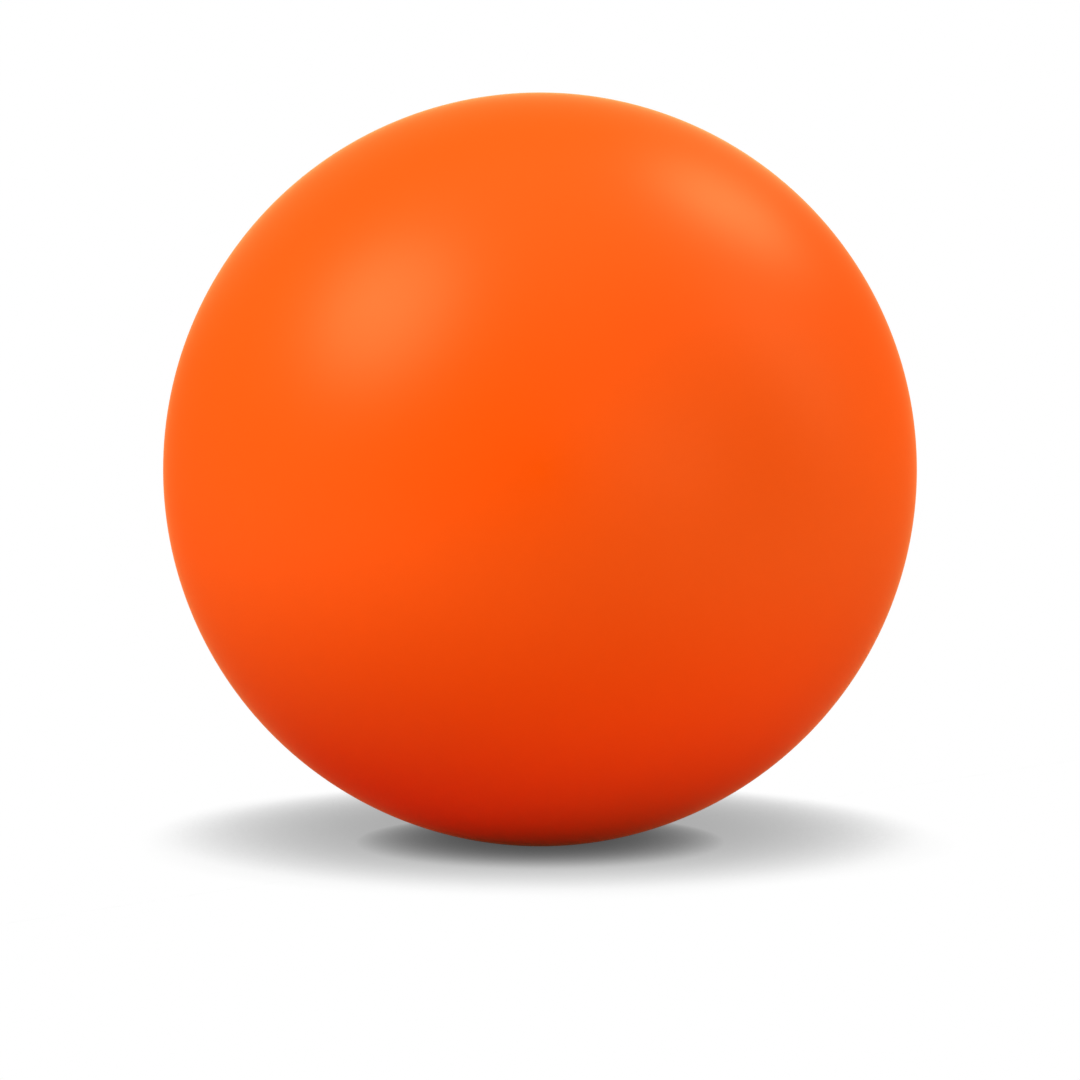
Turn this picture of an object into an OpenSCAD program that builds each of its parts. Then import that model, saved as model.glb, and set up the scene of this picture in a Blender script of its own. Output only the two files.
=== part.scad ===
// Indoor shot put: a soft one-piece casing, filled with steel shot and closed by a push-in plug.
// Sizes are in millimetres. The origin is the ball's centre, +Z is up, and the filler neck opens along +Y.

/* [Ball] */
// Outer diameter of the ball
ball_d = 128; // [110:1:145]
// Thickness of the soft casing
wall = 5; // [3.5:0.5:8]

/* [Filler neck] */
// Diameter of the filling hole, wide enough for one ball of shot
bore_d = 16; // [15:0.5:20]
// How far the neck stands into the hollow, measured on its axis
neck_in = 11; // [9:0.5:14]
// Thickness of the neck's wall outside the seat of the plug's head
neck_wall = 2.5; // [2:0.5:5]
// Radius of the fillet where the neck joins the casing's inside
neck_fillet = 3; // [1:0.5:4]
// Radius of the neck's inner rim
neck_rim = 1.2; // [0.5:0.1:1.5]
// Chamfer that leads the plug into the filling hole
lead_in = 0.8; // [0.4:0.1:1.5]

/* [Filler plug] */
// How far the plug's head reaches past the filling hole
head_lip = 4; // [2.5:0.5:5]
// Thickness of the plug's head on its axis
head_t = 4; // [3:0.5:5]
// Gap around the head that takes a prying blade
pry_gap = 0.5; // [0.3:0.1:0.8]
// Chamfer on the two edges that face each other across the gap
edge_c = 0.6; // [0.3:0.1:1]
// Number of sealing ribs around the stem
rib_n = 3; // [2:1:4]
// Height of a rib above the stem
rib_h = 0.8; // [0.4:0.1:1.2]
// Radial clearance of the ribs in the filling hole
rib_fit = 0.05; // [0.02:0.01:0.1]

/* [Packing pad] */
// Thickness of the foam pad on the plug's inner end
pad_t = 7.5; // [4:0.5:10]
// Radius of the pad's inner rim
pad_rim = 1.5; // [0.5:0.5:2]

/* [Steel shot] */
// Diameter of one ball of shot
shot_d = 12; // [10:0.5:14]
// Least gap between one ball of shot and the next
shot_gap = 0.1; // [0.05:0.05:0.3]
// Least gap from a ball of shot to the casing and the pad
shot_clear = 0.2; // [0.1:0.05:0.5]

/* [Hidden] */

ball_r = ball_d / 2;
inner_r = ball_r - wall;
bore_r = bore_d / 2;
head_r = bore_r + head_lip;
seat_r = head_r + pry_gap;
neck_r = seat_r + neck_wall;
stem_r = bore_r - rib_fit - rib_h;

// Heights along the neck's axis, from the ball's centre
seat_y = ball_r - head_t;
neck_y = inner_r - neck_in;
pad_y = neck_y - pad_t;
rib_pitch = (seat_y - neck_y) / rib_n;

// Segments around the ball, and around one ball of shot
ball_fn = 180;
shot_fn = 24;

casing_rgb = [0.96, 0.32, 0.0];
pad_rgb = [0.35, 0.35, 0.36];
steel_rgb = [0.60, 0.61, 0.62];

// Height of a ball of radius r at a distance x from its axis
function ball_y(r, x) = sqrt(r ^ 2 - x ^ 2);

// Centre of the neck's fillet circle, which touches the neck and the casing's inside, as [width, height]
fillet_x = neck_r + neck_fillet;
fillet_at = [fillet_x, ball_y(inner_r - neck_fillet, fillet_x)];

// Each chamfer runs from its low point on a straight wall to its high point on the ball's surface
mouth_low = [seat_r, ball_y(ball_r, seat_r) - edge_c];
mouth_high = [seat_r + edge_c, ball_y(ball_r, seat_r + edge_c)];
rim_low = [head_r, ball_y(ball_r, head_r) - edge_c];
rim_high = [head_r - edge_c, ball_y(ball_r, head_r - edge_c)];

// Turns a half outline, drawn as width and height, about the neck's axis
module turned() {
    rotate([-90, 0, 0]) rotate_extrude($fn = ball_fn) children();
}

// A block of an outline that reaches from the axis out to width w, between two heights
module block(w, low, high) {
    translate([0, low]) square([w, high - low]);
}

// All that lies above a point and on the axis side of the ray from the ball's centre through it
module above_ray(p) {
    polygon([[0, p.y], p, 2 * p, [0, 2 * p.y]]);
}

// All that lies above a height and on the axis side of a chamfer, which is drawn on past the ball's surface
module inside_chamfer(low, p, q) {
    past = 2 * q - p;
    polygon([[0, low], [p.x, low], p, past, [past.x, ball_d], [0, ball_d]]);
}

// A block whose lower outer corner is rounded with radius r
module round_foot(w, low, high, r) {
    block(w - r, low, high);
    block(w, low + r, high);
    translate([w - r, low + r]) circle(r = r, $fn = ball_fn);
}

// The casing's wall, with the neck standing into the hollow and a fillet at its root
module casing_wall() {
    difference() {
        circle(r = ball_r, $fn = ball_fn);
        circle(r = inner_r, $fn = ball_fn);
    }
    intersection() {
        circle(r = ball_r, $fn = ball_fn);
        union() {
            round_foot(neck_r, neck_y, ball_r, neck_rim);
            difference() {
                above_ray(fillet_at);
                translate(fillet_at) circle(r = neck_fillet, $fn = ball_fn);
            }
        }
    }
}

// What the plug takes up: the head's seat with its chamfered mouth, the lead-in and the filling hole
module plug_space() {
    inside_chamfer(seat_y, mouth_low, mouth_high);
    block(bore_r, 0, ball_d);
    polygon([[0, seat_y], [bore_r + lead_in, seat_y], [bore_r, seat_y - lead_in], [0, seat_y - lead_in]]);
}

// The plug's head, domed to the ball's own radius
module plug_head() {
    intersection() {
        circle(r = ball_r, $fn = ball_fn);
        inside_chamfer(seat_y, rim_low, rim_high);
    }
}

// The plug's stem, with round sealing ribs evenly along it
module plug_stem() {
    block(stem_r, neck_y, seat_y);
    for (i = [0 : rib_n - 1])
        translate([stem_r, neck_y + (i + 0.5) * rib_pitch]) circle(r = rib_h, $fn = ball_fn);
}

module casing() {
    color(casing_rgb) turned() intersection() {
        translate([0, -ball_r]) square([ball_r, ball_d]);
        difference() {
            casing_wall();
            plug_space();
        }
    }
}

module filler_plug() {
    color(casing_rgb) turned() {
        plug_head();
        plug_stem();
    }
}

module packing_pad() {
    color(pad_rgb) turned() round_foot(stem_r, pad_y, neck_y, pad_rim);
}

// Distance from a point to a round bar of radius r that runs from a height outwards along the neck's axis
function off_bar(p, r, low) = norm([max(norm([p.x, p.z]) - r, 0), max(low - p.y, 0)]);

// Close-packed places that a ball of shot can take inside the casing, clear of the neck and the pad
shot_away = shot_d / 2 + shot_clear;
shot_reach = inner_r - shot_away;
shot_step = (shot_d + shot_gap) / sqrt(2);
shot_n = floor(shot_reach / shot_step);
shot_places = [
    for (i = [-shot_n : shot_n], j = [-shot_n : shot_n], k = [-shot_n : shot_n])
        let (p = shot_step * [i, j, k])
            if ((i + j + k) % 2 == 0
                && norm(p) <= shot_reach
                && off_bar(p, neck_r, neck_y) >= shot_away
                && off_bar(p, stem_r, pad_y) >= shot_away) p
];

module steel_shot() {
    color(steel_rgb) for (p = shot_places) translate(p) sphere(d = shot_d, $fn = shot_fn);
}

casing();
filler_plug();
packing_pad();
steel_shot();
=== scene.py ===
# %% [markdown]
# # A soft indoor shot
# This lesson dresses a CAD model of an indoor shot put: a soft orange ball that is full of steel
# shot and closed at the rear by a push-in plug. The CAD model gives every size and place, and
# Blender adds the rounded edges, the skin, the foam and the studio. We start by loading the CAD
# model as a fixed frame.

# %% Load the frame
import math

import bmesh
import bpy
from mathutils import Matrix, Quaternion, Vector


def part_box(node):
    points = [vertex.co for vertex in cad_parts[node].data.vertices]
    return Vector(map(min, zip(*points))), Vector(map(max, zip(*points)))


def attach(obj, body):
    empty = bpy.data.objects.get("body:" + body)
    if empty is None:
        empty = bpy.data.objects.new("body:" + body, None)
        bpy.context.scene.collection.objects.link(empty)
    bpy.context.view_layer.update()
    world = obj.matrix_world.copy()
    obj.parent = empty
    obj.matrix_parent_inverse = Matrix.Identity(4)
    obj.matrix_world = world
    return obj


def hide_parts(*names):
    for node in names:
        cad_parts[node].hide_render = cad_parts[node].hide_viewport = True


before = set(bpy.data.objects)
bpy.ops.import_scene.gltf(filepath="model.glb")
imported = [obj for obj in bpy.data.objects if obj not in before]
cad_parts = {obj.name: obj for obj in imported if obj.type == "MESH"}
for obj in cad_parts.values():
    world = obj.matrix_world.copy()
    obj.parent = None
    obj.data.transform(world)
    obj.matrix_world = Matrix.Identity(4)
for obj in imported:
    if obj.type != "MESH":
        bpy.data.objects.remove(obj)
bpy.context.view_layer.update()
scene = bpy.context.scene
scene.view_settings.view_transform = "Standard"

# %% [markdown]
# ## Driving sizes
# Most sizes can be measured on the CAD nodes: the ball's radius, the plug's head and the pad. The
# rest are the same few numbers that the CAD model uses, such as the wall and the filling hole.
# Everything is in metres, and the neck's axis is +Y, so each turned piece is drawn as a half
# outline of width (away from the axis) and height (along it).

# %% Sizes
MM = 0.001
MILLILITRE = 1e-6

casing_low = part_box("casing")[0]
plug_low, plug_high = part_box("filler_plug")
pad_low, pad_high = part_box("packing_pad")

ball_r = -casing_low.y
head_r = plug_high.x
neck_y = plug_low.y
pad_r = pad_high.x
pad_y = pad_low.y

wall = 5 * MM
bore_r = 8 * MM
pry_gap = 0.5 * MM
neck_wall = 2.5 * MM
head_t = 4 * MM

inner_r = ball_r - wall
seat_r = head_r + pry_gap
neck_r = seat_r + neck_wall
seat_y = ball_r - head_t
print("ball", ball_r, "head", head_r, "neck end", neck_y, "pad", pad_r, pad_y)

# %% [markdown]
# ## Outlines
# A lathe needs a half outline. Corners of a moulded piece are never sharp, because the mould's own
# edges are rounded, and a small round also catches a line of light. So two helpers draw an arc and
# round the corners of a chain of points.


# %% Outline helpers
def arc(centre, radius, start, end, steps):
    """Points on a circle between two angles in degrees."""
    points = []
    for step in range(steps + 1):
        angle = math.radians(start + (end - start) * step / steps)
        points.append((centre[0] + radius * math.cos(angle), centre[1] + radius * math.sin(angle)))
    return points


def rounded(corners, steps=6):
    """A chain of points with its corners, given as (width, height, radius), rounded."""
    points = [corners[0][:2]]
    for before, corner, after in zip(corners, corners[1:], corners[2:]):
        here = Vector(corner[:2])
        back = (Vector(before[:2]) - here).normalized()
        ahead = (Vector(after[:2]) - here).normalized()
        half = back.angle(ahead) / 2
        reach = corner[2] / math.tan(half)
        start = here + back * reach
        end = here + ahead * reach
        middle = here + (back + ahead).normalized() * corner[2] / math.sin(half)
        for step in range(steps + 1):
            spoke = (start - middle).slerp(end - middle, step / steps).normalized()
            points.append(tuple(middle + spoke * corner[2]))
    points.append(corners[-1][:2])
    return points


def sphere_height(radius, width):
    """Height of a ball's surface at a distance from its axis."""
    return math.sqrt(radius ** 2 - width ** 2)


def angle_of(point):
    """Angle in degrees of a point seen from the ball's centre, from the equator up to the pole."""
    return math.degrees(math.atan2(point[1], point[0]))


print("a square corner with a round of 1:", len(rounded([(0, 0), (5, 0, 1), (5, 5)])), "points")

# %% [markdown]
# ## Node helper
# Materials and Geometry Nodes are both trees of nodes. One small class wraps a socket, so that sums
# on values can be written as Python sums, and one method adds any other node: its settings first,
# then its sockets.


# %% Sockets as values
class Wire:
    """An output socket of a node tree. Sums on wires add Math nodes to the tree."""

    def __init__(self, tree, socket):
        self.tree = tree
        self.socket = socket

    def node(self, kind, settings=None, output=0, **sockets):
        """Adds a node and returns one of its outputs. A space in a socket's name is written _."""
        made = self.tree.nodes.new(kind)
        for name, value in (settings or {}).items():
            setattr(made, name, value)
        for name, value in sockets.items():
            self.feed(find_input(made, name), value)
        return Wire(self.tree, made.outputs[output])

    def feed(self, target, value):
        """Links a wire to an input, or writes a plain value on it."""
        if isinstance(value, Wire):
            self.tree.links.new(value.socket, target)
        else:
            target.default_value = value

    def math(self, operation, first, second=0.0):
        """Adds a Math node for one or two values."""
        made = self.tree.nodes.new("ShaderNodeMath")
        made.operation = operation
        for target, value in zip(made.inputs, (first, second)):
            self.feed(target, value)
        return Wire(self.tree, made.outputs[0])

    def __add__(self, other):
        return self.math("ADD", self, other)

    def __radd__(self, other):
        return self.math("ADD", other, self)

    def __sub__(self, other):
        return self.math("SUBTRACT", self, other)

    def __rsub__(self, other):
        return self.math("SUBTRACT", other, self)

    def __mul__(self, other):
        return self.math("MULTIPLY", self, other)

    def __truediv__(self, other):
        return self.math("DIVIDE", self, other)

    def __rtruediv__(self, other):
        return self.math("DIVIDE", other, self)

    def __mod__(self, other):
        return self.math("FLOORED_MODULO", self, other)

    def __pow__(self, other):
        return self.math("POWER", self, other)

    def __lt__(self, other):
        return self.math("LESS_THAN", self, other)

    def __gt__(self, other):
        return self.math("GREATER_THAN", self, other)

    def floor(self):
        return self.math("FLOOR", self)

    def at_least(self, other):
        return self.math("MAXIMUM", self, other)

    def at_most(self, other):
        return self.math("MINIMUM", self, other)


def find_input(made, name):
    """The first input in use with that name, or the input at a number, such as at_6."""
    if name.startswith("at_"):
        return made.inputs[int(name[3:])]
    words = name.replace("_", " ")
    return next(s for s in made.inputs if s.name == words and s.enabled)


print("operators ready:", [name for name in vars(Wire) if name.startswith("__r")])

# %% [markdown]
# ## Finishes
# A finish starts as one Principled shader. Its fixed numbers are set on the shader's own sockets,
# and only what changes over the surface is linked.


# %% A new finish
class Finish:
    """A material that starts as one Principled shader, with its Object coordinates as a wire."""

    def __init__(self, name, **fixed):
        self.material = bpy.data.materials.new(name)
        self.material.use_nodes = True
        self.tree = self.material.node_tree
        self.shader = next(n for n in self.tree.nodes if n.type == "BSDF_PRINCIPLED")
        for socket, value in fixed.items():
            self.shader.inputs[socket.replace("_", " ")].default_value = value
        self.body = Wire(self.tree, self.shader.outputs[0])
        self.place = self.body.node("ShaderNodeTexCoord", output=3)

    def link(self, socket, wire):
        """Links what changes over the surface to one of the shader's sockets."""
        self.tree.links.new(wire.socket, self.shader.inputs[socket])

    def show(self, wire):
        """Makes a shader what the material shows."""
        last = next(n for n in self.tree.nodes if n.type == "OUTPUT_MATERIAL")
        self.tree.links.new(wire.socket, last.inputs["Surface"])


def colour_mix(factor, first, second):
    """Mixes two colours by a wire. Each colour is three numbers or a wire."""
    first, second = (c if isinstance(c, Wire) else (*c, 1.0) for c in (first, second))
    return factor.node(
        "ShaderNodeMix", {"data_type": "RGBA"}, output=2, at_0=factor, at_6=first, at_7=second
    )


def noise(place, size, detail=2.0, roughness=0.5):
    """Smooth noise whose lumps are about that size, in metres."""
    return place.node(
        "ShaderNodeTexNoise", Vector=place, Scale=1 / size, Detail=detail, Roughness=roughness
    )


def bump(place, strength, depth, height):
    """Bumps of a depth in metres, to be linked to Normal."""
    return place.node("ShaderNodeBump", Strength=strength, Distance=depth, Height=height)


print("helpers for finishes ready")

# %% [markdown]
# ### The soft skin
# The casing is soft vinyl, dyed through, with the satin skin of a sand-blasted mould. Close up it
# has a fine grain and the dye is a little cloudy. A plain glossy plastic would mirror a white
# studio as white, which makes the ball look pale and pink. Soft vinyl mirrors little, and what
# comes back has been a short way through the dye, so the gloss is a weak peach one. It is mixed
# over a dull body: least where the skin faces us, a little more to the side, and strong only right
# at the rim.


# %% Soft skin
cloud_size = 22 * MM
speck_size = 0.9 * MM
grain_size = 0.45 * MM
pore_size = 0.8 * MM
grain_depth = 0.05 * MM
touch_size = 35 * MM
peach = (1.0, 0.9, 0.4, 1.0)
face_gloss = 0.003
side_gloss = 0.032
side_power = 0.3
rim_gloss = 0.3
rim_power = 11


def soft_skin(name, bright, deep):
    """Cloudy dyed vinyl with a fine grain and a weak peach gloss."""
    finish = Finish(name, Specular_IOR_Level=0.0, Roughness=0.6)
    place = finish.place
    cloud = noise(place, cloud_size, detail=3.0)
    speck = noise(place, speck_size, detail=1.0)
    finish.link("Base Color", colour_mix(cloud * 0.75 + speck * 0.25, deep, bright))
    grain = noise(place, grain_size, detail=2.0)
    pore = place.node("ShaderNodeTexVoronoi", Vector=place, Scale=1 / pore_size)
    uneven = bump(place, 0.06, grain_depth, grain * 0.7 + pore * 0.3)
    finish.link("Normal", uneven)
    touch = noise(place, touch_size, detail=4.0, roughness=0.6)
    satin = 0.38 + touch * 0.08
    gloss = place.node("ShaderNodeBsdfGlossy", Color=peach, Roughness=satin, Normal=uneven)
    rim = place.node("ShaderNodeLayerWeight", output=1, Blend=0.5, Normal=uneven)
    share = face_gloss + rim ** side_power * side_gloss + rim ** rim_power * rim_gloss
    finish.show(place.node("ShaderNodeMixShader", at_0=share, at_1=finish.body, at_2=gloss))
    return finish.material


casing_skin = soft_skin("casing_skin", bright=(0.91, 0.085, 0.001), deep=(0.87, 0.080, 0.001))
plug_skin = soft_skin("plug_skin", bright=(0.88, 0.081, 0.001), deep=(0.83, 0.075, 0.001))
print("soft finishes:", casing_skin.name, plug_skin.name)

# %% [markdown]
# ### Foam and steel
# The pad on the plug's inner end is open-cell foam: grey and dull, with painted shade that makes it
# darker down in the cells. The shot is bare steel, rolled and lightly oiled, so it is bright with
# cloudy patches and a few brown ones.


# %% Foam
cell_size = 0.9 * MM
dust_size = 3 * MM
fuzz_size = 0.15 * MM
fuzz_depth = 0.06 * MM
# foam_dark is the painted shade down in the cells and the darker tones of the dust.
foam_dark = (0.045, 0.045, 0.05)
foam_light = (0.19, 0.19, 0.195)


def open_cell_foam(name, cell):
    """Dull grey foam with painted shade that makes it darker down in its cells."""
    finish = Finish(name, Specular_IOR_Level=0.2)
    place = finish.place
    # Painted shade: the colour darkens towards the middle of each foam cell, as shade down in it.
    painted_cell_shade = place.node("ShaderNodeTexVoronoi", {"feature": "F1"}, Vector=place, Scale=1 / cell)
    dust = noise(place, dust_size, detail=3.0)
    finish.link("Base Color", colour_mix(painted_cell_shade * 0.8 + dust * 0.3, foam_dark, foam_light))
    finish.link("Roughness", 0.82 + dust * 0.16)
    fuzz = noise(place, fuzz_size, detail=1.0)
    finish.link("Normal", bump(place, 0.4, fuzz_depth, fuzz))
    return finish.material


pad_foam = open_cell_foam("pad_foam", cell_size)
print("foam finish:", pad_foam.name)


# %% Steel
patch_size = 7 * MM
stain_size = 18 * MM
scratch_size = 0.35 * MM
scratch_depth = 0.03 * MM
steel_dark = (0.42, 0.42, 0.43)
steel_light = (0.66, 0.66, 0.65)
oil_brown = (0.3, 0.2, 0.13)


def oiled_steel(name):
    """Bright steel with cloudy patches, a few brown ones and fine scratches."""
    finish = Finish(name, Metallic=1.0)
    place = finish.place
    patch = noise(place, patch_size, detail=4.0, roughness=0.6)
    lumps = noise(place, stain_size, detail=5.0)
    stain = place.node("ShaderNodeMapRange", Value=lumps, From_Min=0.58, From_Max=0.74)
    bare = colour_mix(patch, steel_dark, steel_light)
    finish.link("Base Color", colour_mix(stain, bare, oil_brown))
    finish.link("Roughness", 0.2 + patch * 0.22 + stain * 0.2)
    scratch = noise(place, scratch_size, detail=3.0, roughness=0.7)
    finish.link("Normal", bump(place, 0.12, scratch_depth, scratch))
    return finish.material


shot_steel = oiled_steel("shot_steel")
print("steel finish:", shot_steel.name)

# %% [markdown]
# ## The turning tree
# The casing, the plug and the pad are all round about one axis. Blender could spin each outline in
# mesh code, but a Geometry Nodes tree says the rule once: sweep the outline round a circle, close
# the poles and lay the axis along +Y. The outline is drawn relative to the circle, which is the
# tree's hub.


# %% Turning tree
def new_tree(name, *sockets):
    """A Geometry Nodes tree from geometry to geometry, with more inputs given as (name, kind)."""
    tree = bpy.data.node_groups.new(name, "GeometryNodeTree")
    tree.interface.new_socket("Start", in_out="INPUT", socket_type="NodeSocketGeometry")
    for title, kind in sockets:
        tree.interface.new_socket(title, in_out="INPUT", socket_type="NodeSocket" + kind)
    tree.interface.new_socket("Made", in_out="OUTPUT", socket_type="NodeSocketGeometry")
    given = tree.nodes.new("NodeGroupInput")
    wires = {s.name: Wire(tree, s) for s in given.outputs if s.name}
    return tree, wires


def end_tree(tree, made, finish):
    """Makes the shape real, gives it its finish and links it to the tree's output."""
    real = made.node("GeometryNodeRealizeInstances", Geometry=made)
    dressed = made.node("GeometryNodeSetMaterial", Geometry=real, Material=finish)
    last = tree.nodes.new("NodeGroupOutput")
    tree.links.new(dressed.socket, last.inputs[0])
    return tree


weld = 0.001 * MM


def turning_tree():
    """Sweeps an outline round a circle and lays its axis along +Y."""
    tree, given = new_tree("turning", ("Hub", "Float"), ("Segments", "Int"), ("Finish", "Material"))
    start = given["Start"]
    outline = start.node("GeometryNodeMeshToCurve", Mesh=start)
    circle = start.node(
        "GeometryNodeCurvePrimitiveCircle", Resolution=given["Segments"], Radius=given["Hub"]
    )
    swept = start.node("GeometryNodeCurveToMesh", Curve=circle, Profile_Curve=outline)
    closed = start.node("GeometryNodeMergeByDistance", Geometry=swept, Distance=weld)
    laid = start.node("GeometryNodeTransform", Geometry=closed, Rotation=(math.pi / 2, 0, 0))
    smooth = start.node("GeometryNodeSetShadeSmooth", Geometry=laid)
    return end_tree(tree, smooth, given["Finish"])


turning = turning_tree()
print("turning tree:", len(turning.nodes), "nodes")


# %% Running a tree
def add_tree(piece, tree, **values):
    """Puts a tree on a piece and sets its named inputs."""
    modifier = piece.modifiers.new(tree.name, "NODES")
    modifier.node_group = tree
    inputs = {i.name: i.identifier for i in tree.interface.items_tree if i.in_out == "INPUT"}
    for name, value in values.items():
        modifier[inputs[name.replace("_", " ")]] = value


def keep_mesh(piece):
    """Turns what the trees made into the piece's own plain mesh, and measures it."""
    graph = bpy.context.evaluated_depsgraph_get()
    made = bpy.data.meshes.new_from_object(piece.evaluated_get(graph))
    piece.modifiers.clear()
    piece.data = made
    shape = bmesh.new()
    shape.from_mesh(made)
    volume = shape.calc_volume(signed=True) / MILLILITRE
    open_edges = sum(not e.is_manifold for e in shape.edges)
    triangles = sum(len(f.verts) - 2 for f in shape.faces)
    shape.free()
    print(piece.name, "triangles:", triangles, "ml:", round(volume, 3), "open edges:", open_edges)
    return piece


def outline_piece(name, points, hub):
    """An object that holds an outline as a chain of edges, drawn relative to the hub."""
    mesh = bpy.data.meshes.new(name)
    chain = [(n, n + 1) for n in range(len(points) - 1)]
    mesh.from_pydata([(x - hub, y, 0) for x, y in points], chain, [])
    piece = bpy.data.objects.new(name, mesh)
    scene.collection.objects.link(piece)
    return piece


def turned_piece(name, points, segments, finish):
    """Turns an outline about the neck's axis."""
    hub = max(x for x, y in points)
    piece = outline_piece(name, points, hub)
    add_tree(piece, turning, Hub=hub, Segments=segments, Finish=finish)
    return piece


print("tree helpers ready")

# %% [markdown]
# ## The casing
# The casing is one moulding: a ball with a wall of 5 mm and a thick neck that stands into the
# hollow at the rear. It could be two spheres and a boolean, but that leaves a messy edge at the
# mouth. One outline from the front pole over the outside, through the mouth, down the filling hole,
# round the neck and back along the inside gives clean rings of faces instead.

# %% Casing outline
casing_segments = 240
mouth_round = 0.7 * MM
neck_fillet = 3 * MM
neck_rim = 1.2 * MM
bore_round = 0.5 * MM
seat_round = 0.35 * MM
lead_in = 0.8 * MM
lead_round = 0.25 * MM


def casing_outline():
    """From the front pole over the outside, through the filling hole and back along the inside."""
    mouth_x = seat_r + mouth_round
    mouth = (mouth_x, sphere_height(ball_r - mouth_round, mouth_x))
    foot_x = neck_r + neck_fillet
    foot = (foot_x, sphere_height(inner_r - neck_fillet, foot_x))
    outside = arc((0, 0), ball_r, -90, angle_of(mouth), steps=150)
    lip = arc(mouth, mouth_round, angle_of(mouth), 180, steps=10)[1:]
    hole = rounded(
        [
            lip[-1],
            (seat_r, seat_y, seat_round),
            (bore_r + lead_in, seat_y, lead_round),
            (bore_r, seat_y - lead_in, lead_round),
            (bore_r, neck_y, bore_round),
            (neck_r, neck_y, neck_rim),
            (neck_r, foot[1]),
        ]
    )[1:]
    root = arc(foot, neck_fillet, 180, angle_of(foot), steps=12)[1:]
    inside = arc((0, 0), inner_r, angle_of(foot), -90, steps=48)[1:]
    return outside + lip + hole + root + inside


casing = keep_mesh(turned_piece("soft_casing", casing_outline(), casing_segments, casing_skin))

# %% [markdown]
# ## The filler plug
# The plug is a mushroom of the same soft vinyl. Its head is domed to the ball's own radius, so that
# the ball stays round, and three ribs on its stem grip the filling hole. It is turned too. The
# small dimple in the middle of the head is where the moulding's runner was cut off.

# %% Plug outline
plug_segments = 128
rim_round = 0.7 * MM
head_round = 0.4 * MM
stem_fillet = 0.3 * MM
stem_round = 0.25 * MM
rib_h = 0.8 * MM
rib_n = 3
stem_r = pad_r
gate_r = 1.1 * MM
gate_depth = 0.25 * MM
gate_fillet = 0.2 * MM
gate_round = 0.15 * MM


def plug_outline():
    """From the middle of the head over its rim, down the ribs and in to the stem's end."""
    rim_x = head_r - rim_round
    rim = (rim_x, sphere_height(ball_r - rim_round, rim_x))
    pitch = (seat_y - neck_y) / rib_n
    gate_floor = ball_r - gate_depth
    dimple = rounded(
        [
            (0, gate_floor),
            (gate_r * 0.7, gate_floor, gate_fillet),
            (gate_r, sphere_height(ball_r, gate_r), gate_round),
            (gate_r * 1.6, sphere_height(ball_r, gate_r * 1.6)),
        ]
    )
    dome = arc((0, 0), ball_r, angle_of(dimple[-1]), angle_of(rim), steps=24)[1:]
    edge = arc(rim, rim_round, angle_of(rim), 0, steps=8)[1:]
    under = rounded(
        [
            edge[-1],
            (head_r, seat_y, head_round),
            (stem_r, seat_y, stem_fillet),
            (stem_r, seat_y - pitch / 4),
        ]
    )[1:]
    ribs = []
    for place in reversed(range(rib_n)):
        ribs += arc((stem_r, neck_y + (place + 0.5) * pitch), rib_h, 90, -90, steps=14)
    foot = rounded([(stem_r, neck_y + pitch / 4), (stem_r, neck_y, stem_round), (0, neck_y)])
    return (dimple + dome + edge + under + ribs + foot)[::-1]


plug = keep_mesh(turned_piece("soft_plug", plug_outline(), plug_segments, plug_skin))

# %% [markdown]
# ## The packing pad
# The pad is punched from a sheet of open-cell foam, and it presses on the shot so that nothing
# rattles. Bump alone would leave it a smooth disc, so a second tree dents its surface with the
# cells themselves. Its side is pulled in a little, as a punch leaves it, and its inner end is
# crowned.


# %% Foam cells
def cells_tree():
    """Dents a surface inward with the cells of a foam."""
    tree, given = new_tree(
        "foam_cells", ("Cell", "Float"), ("Depth", "Float"), ("Finish", "Material")
    )
    start = given["Start"]
    here = start.node("GeometryNodeInputPosition")
    cells = start.node(
        "ShaderNodeTexVoronoi", {"feature": "F1"}, Vector=here, Scale=1 / given["Cell"]
    )
    dent = (1 - cells) ** 2 * given["Depth"] * -1
    out = start.node("GeometryNodeInputNormal")
    move = start.node("ShaderNodeVectorMath", {"operation": "SCALE"}, Vector=out, Scale=dent)
    dented = start.node("GeometryNodeSetPosition", Geometry=start, Offset=move)
    return end_tree(tree, dented, given["Finish"])


foam_cells = cells_tree()
print("foam tree:", len(foam_cells.nodes), "nodes")

# %% Pad
pad_segments = 150
pad_waist = 0.25 * MM
pad_bow = 4 * MM
pad_round = 0.3 * MM
pad_rim = 1.5 * MM
pad_taper = 0.05 * MM
pad_crown = 0.1 * MM
pad_mesh = 0.22 * MM
cell_depth = 0.28 * MM


def finer(points, step):
    """The same chain with points no further apart than a step."""
    chain = [points[0]]
    for start, end in zip(points, points[1:]):
        count = max(1, math.ceil(math.dist(start, end) / step))
        for n in range(1, count + 1):
            chain.append(tuple(Vector(start).lerp(Vector(end), n / count)))
    return chain


def pad_outline():
    """A disc with a pulled-in side and a rounded inner rim, in short steps for the cells."""
    middle = (neck_y + pad_y) / 2
    side = rounded(
        [
            (0, neck_y),
            (pad_r, neck_y, pad_round),
            (pad_r - pad_waist, middle, pad_bow),
            (pad_r - pad_taper, pad_y + pad_crown, pad_rim),
            (0, pad_y),
        ]
    )
    return finer(side[::-1], pad_mesh)


pad = turned_piece("foam_pad", pad_outline(), pad_segments, pad_foam)
add_tree(pad, foam_cells, Cell=cell_size, Depth=cell_depth, Finish=pad_foam)
keep_mesh(pad)

# %% [markdown]
# ## The steel shot
# The casing is full of steel balls in close packing. A particle system would have to be converted
# and would not match the CAD model. Here a tree numbers the places of a cubic lattice, keeps every
# second one as in a stack of fruit, drops those that would touch the casing, the neck or the pad,
# and puts one ball on each. A ball has few faces, because there are hundreds of them.


# %% Shot tree
any_turn = (6.28, 6.28, 6.28)


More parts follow.
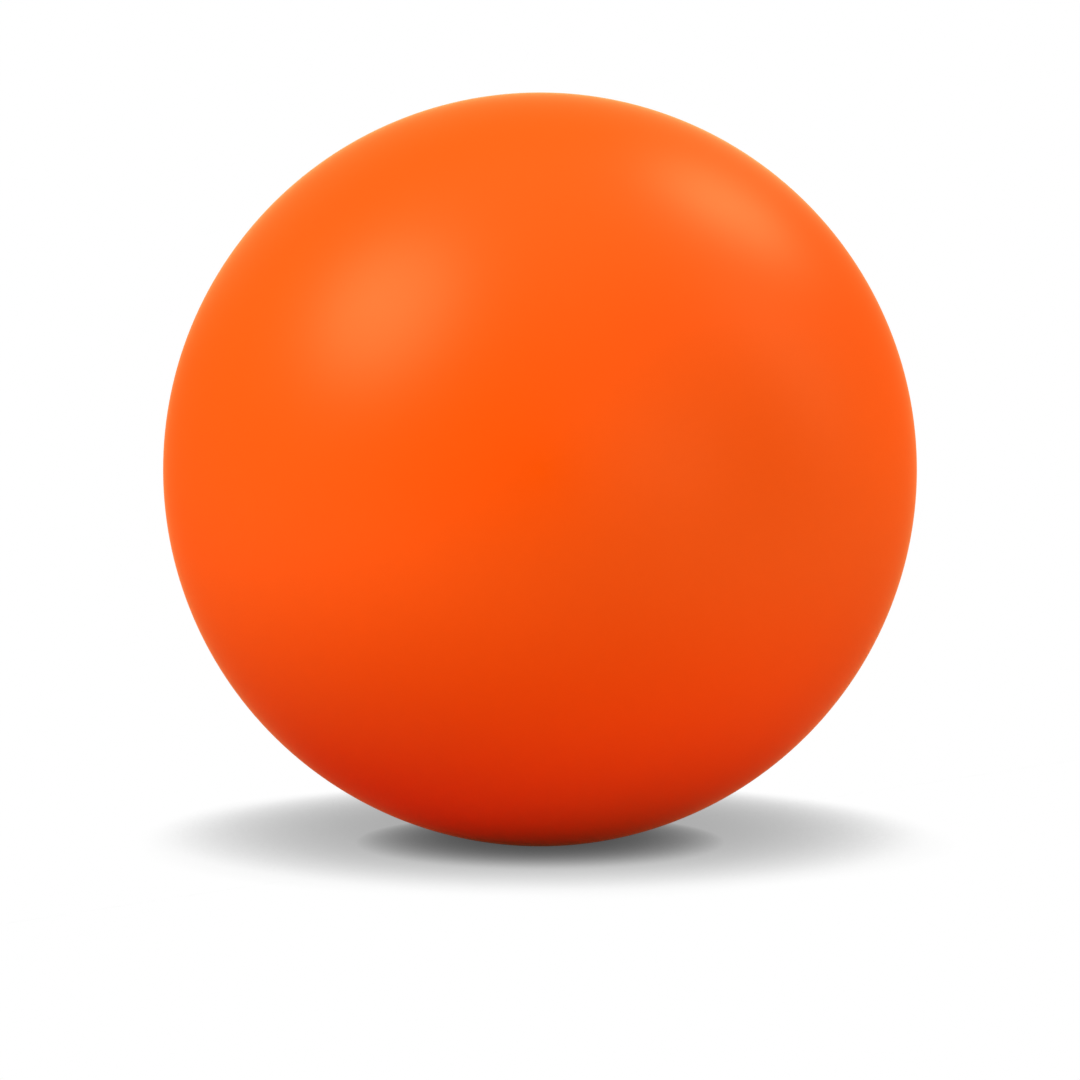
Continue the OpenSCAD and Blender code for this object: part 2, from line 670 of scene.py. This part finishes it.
def shot_tree():
    """Stacks balls on every second place of a cubic lattice and drops those that would touch."""
    tree, given = new_tree(
        "shot_stack",
        ("Each way", "Float"),
        ("Step", "Float"),
        ("Shot radius", "Float"),
        ("Reach", "Float"),
        ("Away", "Float"),
        ("Neck radius", "Float"),
        ("Neck height", "Float"),
        ("Pad radius", "Float"),
        ("Pad height", "Float"),
        ("Seed", "Int"),
        ("Finish", "Material"),
    )
    start = given["Start"]
    row = given["Each way"] * 2 + 1
    number = start.node("GeometryNodeInputIndex")
    i = number % row - given["Each way"]
    j = (number / row).floor() % row - given["Each way"]
    k = (number / row / row).floor() - given["Each way"]
    step = given["Step"]
    place = start.node("ShaderNodeCombineXYZ", X=i * step, Y=j * step, Z=k * step)
    points = start.node("GeometryNodePoints", Count=row * row * row, Position=place)

    def off_bar(radius, low):
        """Distance to a round bar along the neck's axis that starts at a height."""
        sideways = ((i * i + k * k) ** 0.5 * step - radius).at_least(0)
        below = (low - j * step).at_least(0)
        return (sideways * sideways + below * below) ** 0.5

    out = (i * i + j * j + k * k) ** 0.5 * step
    odd = (i + j + k) % 2 > 0.5
    near_neck = off_bar(given["Neck radius"], given["Neck height"]) < given["Away"]
    near_pad = off_bar(given["Pad radius"], given["Pad height"]) < given["Away"]
    spare = odd + (out > given["Reach"]) + near_neck + near_pad
    stacked = start.node("GeometryNodeDeleteGeometry", Geometry=points, Selection=spare > 0.5)
    ball = start.node("GeometryNodeMeshIcoSphere", Radius=given["Shot radius"], Subdivisions=2)
    smooth = start.node("GeometryNodeSetShadeSmooth", Geometry=ball)
    turn = start.node(
        "FunctionNodeRandomValue",
        {"data_type": "FLOAT_VECTOR"},
        Max=any_turn,
        Seed=given["Seed"],
    )
    placed = start.node(
        "GeometryNodeInstanceOnPoints", Points=stacked, Instance=smooth, Rotation=turn
    )
    return end_tree(tree, placed, given["Finish"])


shot_stack = shot_tree()
print("shot tree:", len(shot_stack.nodes), "nodes")

# %% Shot
shot_r = 6 * MM
shot_gap = 0.1 * MM
shot_clear = 0.2 * MM
shot_seed = 7
shot_faces = 80
shot_away = shot_r + shot_clear
shot_step = (2 * shot_r + shot_gap) / math.sqrt(2)
shot_reach = inner_r - shot_away

shot = bpy.data.objects.new("loose_shot", bpy.data.meshes.new("loose_shot"))
scene.collection.objects.link(shot)
add_tree(
    shot,
    shot_stack,
    Each_way=float(math.floor(shot_reach / shot_step)),
    Step=shot_step,
    Shot_radius=shot_r,
    Reach=shot_reach,
    Away=shot_away,
    Neck_radius=neck_r,
    Neck_height=neck_y,
    Pad_radius=pad_r,
    Pad_height=pad_y,
    Seed=shot_seed,
    Finish=shot_steel,
)
keep_mesh(shot)
print("balls of shot:", len(shot.data.polygons) / shot_faces)

# %% [markdown]
# ## Joining the frame
# Each piece takes the place of its CAD node and moves with a body: the casing and the shot with the
# ball, the plug and its pad with the plug.

# %% Ride and replace
for piece, body, node, slot in (
    (casing, "ball", "casing", "casing"),
    (shot, "ball", "steel_shot", "steel"),
    (plug, "plug", "filler_plug", "plug"),
    (pad, "plug", "packing_pad", "foam"),
):
    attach(piece, body)
    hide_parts(node)

# %% [markdown]
# ## The studio
# The ball stands on one plain floor that runs out of the picture. A white floor that is lit until
# it is white would wash out the ball, so the floor shows itself as white paper to the camera, to
# gloss and to glass, and the lamps stay low. The ball's shadow on the paper is painted shade, not
# cast by the lamps: it is worked out from how much of the ball is near above each spot, as a wide
# soft painted shade and a darker painted core at the ball's foot. Both lean to the front, where
# most of the light comes from. To soft light the floor is a card with a painted red glow near the
# ball, where the ball's own light would fall on a real floor, and pale further out. This painted
# glow gives the ball its deep red underside.

# %% Floor
floor_size = 40.0
glow_near = 1.5 * ball_r
glow_far = 3.0 * ball_r
shade_reach = 0.5 * ball_r
shade_lean = 44
shade_gain = 1.1
shade_deep = 0.39
core_reach = 0.115 * ball_r
core_lean = 70
core_deep = 0.15
shade_fall = 3


def seen_plainly(place):
    """One for rays that show a surface, to the camera, in gloss or through glass, else zero."""
    camera_ray = place.node("ShaderNodeLightPath", output=0)
    glossy_ray = place.node("ShaderNodeLightPath", output=3)
    clear_ray = place.node("ShaderNodeLightPath", output=6)
    return camera_ray.at_least(glossy_ray).at_least(clear_ray)


def open_above(place, reach, lean):
    """How open a spot is, within a reach, to light that leans to the front by degrees."""
    angle = math.radians(lean)
    way = place.node("ShaderNodeCombineXYZ", X=0.0, Y=-math.sin(angle), Z=math.cos(angle))
    return place.node("ShaderNodeAmbientOcclusion", output=1, Distance=reach, Normal=way)


def floor_finish(near, far):
    """White paper, with a painted shadow grey where the ball stands over it.
    To soft light it is a warm card with a painted red glow near the ball.
    """
    finish = Finish("floor", Roughness=1.0, Specular_IOR_Level=0.0)
    place = finish.place
    away = place.node("ShaderNodeVectorMath", {"operation": "LENGTH"}, output=1, Vector=place)
    # Painted glow: the card turns red near the ball, standing in for its light on the floor.
    glow = place.node("ShaderNodeMapRange", Value=away, From_Min=glow_near, From_Max=glow_far)
    finish.link("Base Color", colour_mix(glow, near, far))
    # Painted shadow: the ball's shade is worked out from how open each spot is, not cast by lamps.
    wide = (open_above(place, shade_reach, shade_lean) * shade_gain).at_most(1.0)
    close = open_above(place, core_reach, core_lean)
    soft_shade = shade_deep + wide ** shade_fall * (1 - shade_deep)
    core = core_deep + close ** shade_fall * (1 - core_deep)
    paper_with_painted_shadow = place.node("ShaderNodeEmission", Color=soft_shade * core, Strength=1.0)
    plainly = seen_plainly(place)
    finish.show(place.node("ShaderNodeMixShader", at_0=plainly, at_1=finish.body, at_2=paper_with_painted_shadow))
    finish.material.cycles.emission_sampling = "NONE"
    return finish.material


def flat_floor(name, height, finish):
    """A square floor at a height."""
    half = floor_size / 2
    signs = ((-1, -1), (1, -1), (1, 1), (-1, 1))
    mesh = bpy.data.meshes.new(name)
    mesh.from_pydata([(x * half, y * half, height) for x, y in signs], [], [(0, 1, 2, 3)])
    mesh.materials.append(finish)
    made = bpy.data.objects.new(name, mesh)
    scene.collection.objects.link(made)


# near is the painted red glow by the ball; far is the card's own pale colour.
floor_with_painted_glow_and_shadow = floor_finish(near=(0.58, 0.02, 0.01), far=(0.8, 0.8, 0.55))
flat_floor("floor", -ball_r, floor_with_painted_glow_and_shadow)
print("floor at", round(-ball_r / MM, 2), "mm, shade reaches", round(shade_reach / MM, 1), "mm")

# %% [markdown]
# ### Lamps and sky
# Point lamps would leave hard spots, so all lamps are soft boxes. A round one at the upper left
# makes the broad highlight, and a smaller one behind at the right makes the second. A narrow box at
# the side adds a faint band below it. Large boxes overhead, in front and low in front light the
# body, and one behind draws a thin light rim. The sky adds a little from everywhere, and it is
# plain white to the camera and in gloss.


# %% Light boxes
def light_box(name, direction, distance, width, height, watts, lean=0.0):
    """A soft box that faces the ball from a direction and leans about it by an angle in degrees."""
    data = bpy.data.lights.new(name, "AREA")
    data.shape = "ELLIPSE"
    data.size = width
    data.size_y = height
    data.energy = watts
    lamp = bpy.data.objects.new(name, data)
    way = Vector(direction).normalized()
    turn = way.to_track_quat("Z", "Y") @ Quaternion((0, 0, 1), math.radians(lean))
    lamp.rotation_euler = turn.to_euler()
    lamp.location = way * distance
    scene.collection.objects.link(lamp)


light_box("top_box", (0.0, 0.0, 1.0), distance=1.2, width=1.4, height=1.4, watts=3.0)
light_box("upper_box", (0.4, -0.72, 0.57), distance=1.8, width=2.4, height=2.4, watts=6.8)
light_box("left_box", (-0.64, -0.30, 0.70), distance=1.0, width=0.66, height=0.66, watts=8.8)
light_box("right_box", (0.532, 0.43, 0.711), distance=1.0, width=0.38, height=0.50, watts=4.9)
light_box("side_box", (0.87, 0.0, 0.45), distance=1.0, width=0.24, height=1.0, watts=1.4, lean=20)
light_box("fill_box", (0.45, -0.89, 0.06), distance=2.2, width=2.2, height=1.4, watts=11.2)
light_box("back_box", (-0.15, 0.92, 0.36), distance=1.4, width=1.6, height=0.9, watts=5.0)

# %% World
soft_light = 0.2
pure_white = (1.0, 1.0, 1.0, 1.0)
world = bpy.data.worlds.new("studio")
scene.world = world
world.use_nodes = True
sky = next(n for n in world.node_tree.nodes if n.type == "BACKGROUND")
sky.inputs["Color"].default_value = pure_white
sky.inputs["Strength"].default_value = soft_light
dim = Wire(world.node_tree, sky.outputs[0])
white = dim.node("ShaderNodeBackground", Color=pure_white, Strength=1.0)
both = dim.node("ShaderNodeMixShader", at_0=seen_plainly(dim), at_1=dim, at_2=white)
last = next(n for n in world.node_tree.nodes if n.type == "OUTPUT_WORLD")
world.node_tree.links.new(both.socket, last.inputs["Surface"])
print("soft light from the sky:", soft_light)

# %% [markdown]
# ## The camera
# A long lens from a little above, as for a catalogue picture: the floor's shadow is a flat ellipse.
# The ball fills about seven tenths of the frame and stands somewhat above its middle, so the camera
# aims a little below the ball's centre. The picture is 1080 pixels wide, and the two sizes in
# pixels are measured on the photograph.

# %% Camera
frame_px = 1080
ball_px = 377.0
raised_px = 70.5
camera_tilt = math.radians(6.4)
lens_mm = 300.0
sensor_mm = 36.0
lens_px = lens_mm / sensor_mm * frame_px
camera_way = ball_r / math.sin(math.atan(ball_px / lens_px))
aim_below = math.atan(raised_px / lens_px)
camera_data = bpy.data.cameras.new("camera")
camera_data.lens = lens_mm
camera_data.sensor_width = sensor_mm
camera = bpy.data.objects.new("camera", camera_data)
camera.location = (0.0, -camera_way * math.cos(camera_tilt), camera_way * math.sin(camera_tilt))
camera.rotation_euler = (math.pi / 2 - camera_tilt - aim_below, 0.0, 0.0)
scene.collection.objects.link(camera)
scene.camera = camera
print("camera", round(camera_way, 3), "m away, at", [round(v, 4) for v in camera.location])
